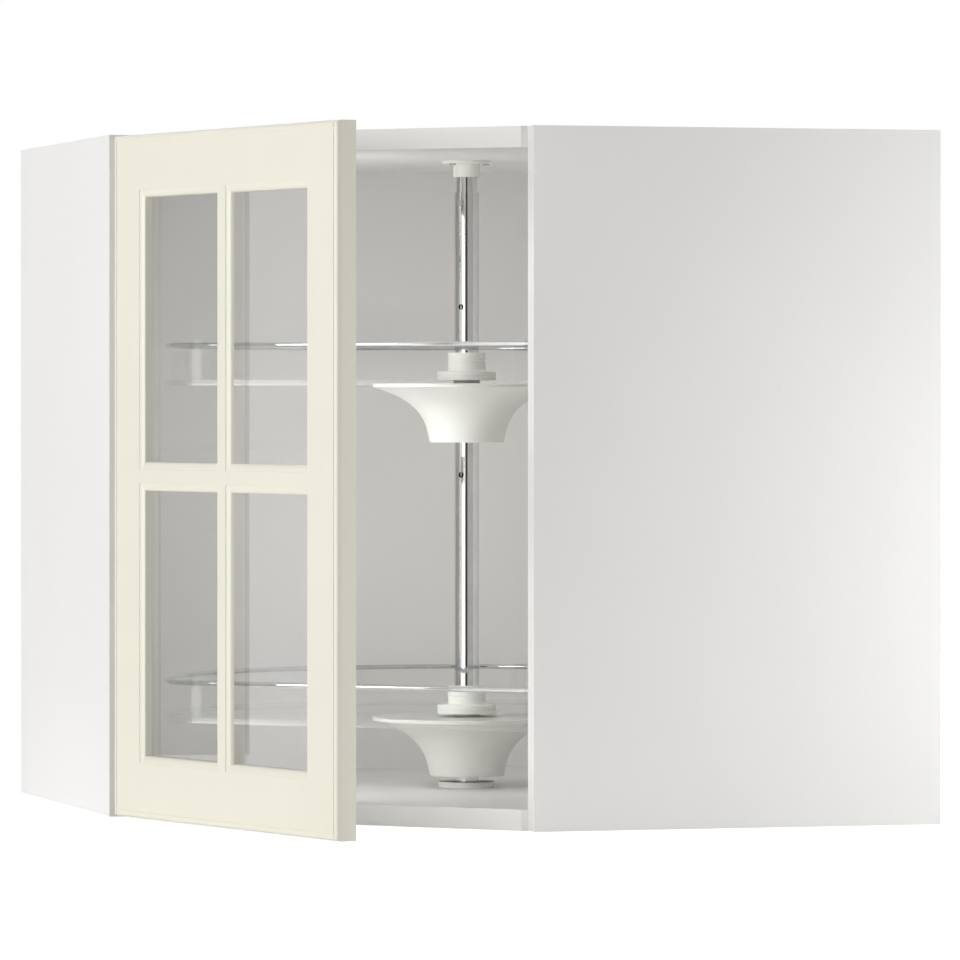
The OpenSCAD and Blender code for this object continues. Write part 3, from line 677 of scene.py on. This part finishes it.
WORLD_LIGHT = 0.252
WORLD_SEEN = 1.0
world = bpy.data.worlds.new("studio")
scene.world = world
world.use_nodes = True
tree = world.node_tree
tree.nodes.clear()
mix = tree.nodes.new("ShaderNodeMixShader")
tree.links.new(sight_rays(tree), mix.inputs["Fac"])
for socket, strength in ((1, WORLD_LIGHT), (2, WORLD_SEEN)):
    background = tree.nodes.new("ShaderNodeBackground")
    background.inputs["Color"].default_value = (1, 1, 1, 1)
    background.inputs["Strength"].default_value = strength
    tree.links.new(background.outputs[0], mix.inputs[socket])
out = tree.nodes.new("ShaderNodeOutputWorld")
tree.links.new(mix.outputs[0], out.inputs["Surface"])


def area(name, at, aim, width, height, watts):
    light = bpy.data.lights.new(name, "AREA")
    light.energy = watts
    light.shape = "RECTANGLE"
    light.size = width
    light.size_y = height
    o = bpy.data.objects.new(name, light)
    o.location = at
    o.rotation_euler = (Vector(aim) - Vector(at)).to_track_quat("-Z", "Y").to_euler()
    scene.collection.objects.link(o)
    return o


def around(azimuth, z):
    """A place on the ring of studio lamps, three metres from the carousel's axis."""
    a = math.radians(azimuth)
    return (RING * math.cos(a), RING * math.sin(a), z)


RING = 3.0
MIDDLE = (0, 0, 0.3)
STUDIO = [
    ("left_softbox", around(184, 0.5), MIDDLE, 1.4, 1.4, 41.0),
    ("opening_softbox", around(228, 0.35), MIDDLE, 1.6, 1.6, 12.0),
    ("right_softbox", (0.95, -0.85, 0.3), (0.32, -0.347, 0.3), 0.5, 0.5, 5.3),
    ("top_softbox", (-1.9, -1.5, 1.5), MIDDLE, 1.8, 1.8, 4.5),
    ("back_softbox", around(45, 0.9), MIDDLE, 1.6, 1.6, 18.0),
]
for one in STUDIO:
    area(*one)

OVERHEAD_SPREAD = 60
overhead = area("overhead_softbox", (0, -0.02, 2.6), (0, -0.02, 0.6), 0.7, 0.7, 1.5)
overhead.data.spread = math.radians(OVERHEAD_SPREAD)

# Small fills inside the cabinet, and strips that lift its top and bottom front edges
STRIP_AT = (-0.175, -0.385)
STRIP_AIM = (-0.069, -0.279)
FILLS = [
    ("inside_fill", (0.19, -0.03, 0.33), (0.19, 0.3, 0.35), 0.16, 0.46, 0.11),
    ("side_fill", (-0.235, -0.075, 0.3), (0.235, 0.095, 0.3), 0.16, 0.5, 0.7),
    ("low_strip", (*STRIP_AT, 0.012), (*STRIP_AIM, 0.012), 0.2, 0.02, 0.03),
    ("high_strip", (*STRIP_AT, 0.588), (*STRIP_AIM, 0.588), 0.2, 0.02, 0.03),
]
for one in FILLS:
    lamp = area(*one)
    lamp.visible_camera = False
    lamp.visible_glossy = False

# The camera, fitted to the corners of the cabinet and its door
IMAGE_PX = 960
FOCAL_PX = 6510.4
HORIZON_PX = 400.16
SENSOR = 36
CAMERA_AT = (-1.632, -5.6381, 0.3665)
CAMERA_TURN = -0.2838

cam = bpy.data.cameras.new("camera")
cam.sensor_width = SENSOR
cam.lens = FOCAL_PX / IMAGE_PX * SENSOR
cam.shift_y = -(IMAGE_PX / 2 - HORIZON_PX) / IMAGE_PX
cam.clip_end = 100
cam_o = bpy.data.objects.new("camera", cam)
cam_o.location = CAMERA_AT
cam_o.rotation_euler = (math.pi / 2, 0, CAMERA_TURN)
scene.collection.objects.link(cam_o)
scene.camera = cam_o
scene.view_settings.view_transform = "Standard"

bpy.context.view_layer.update()
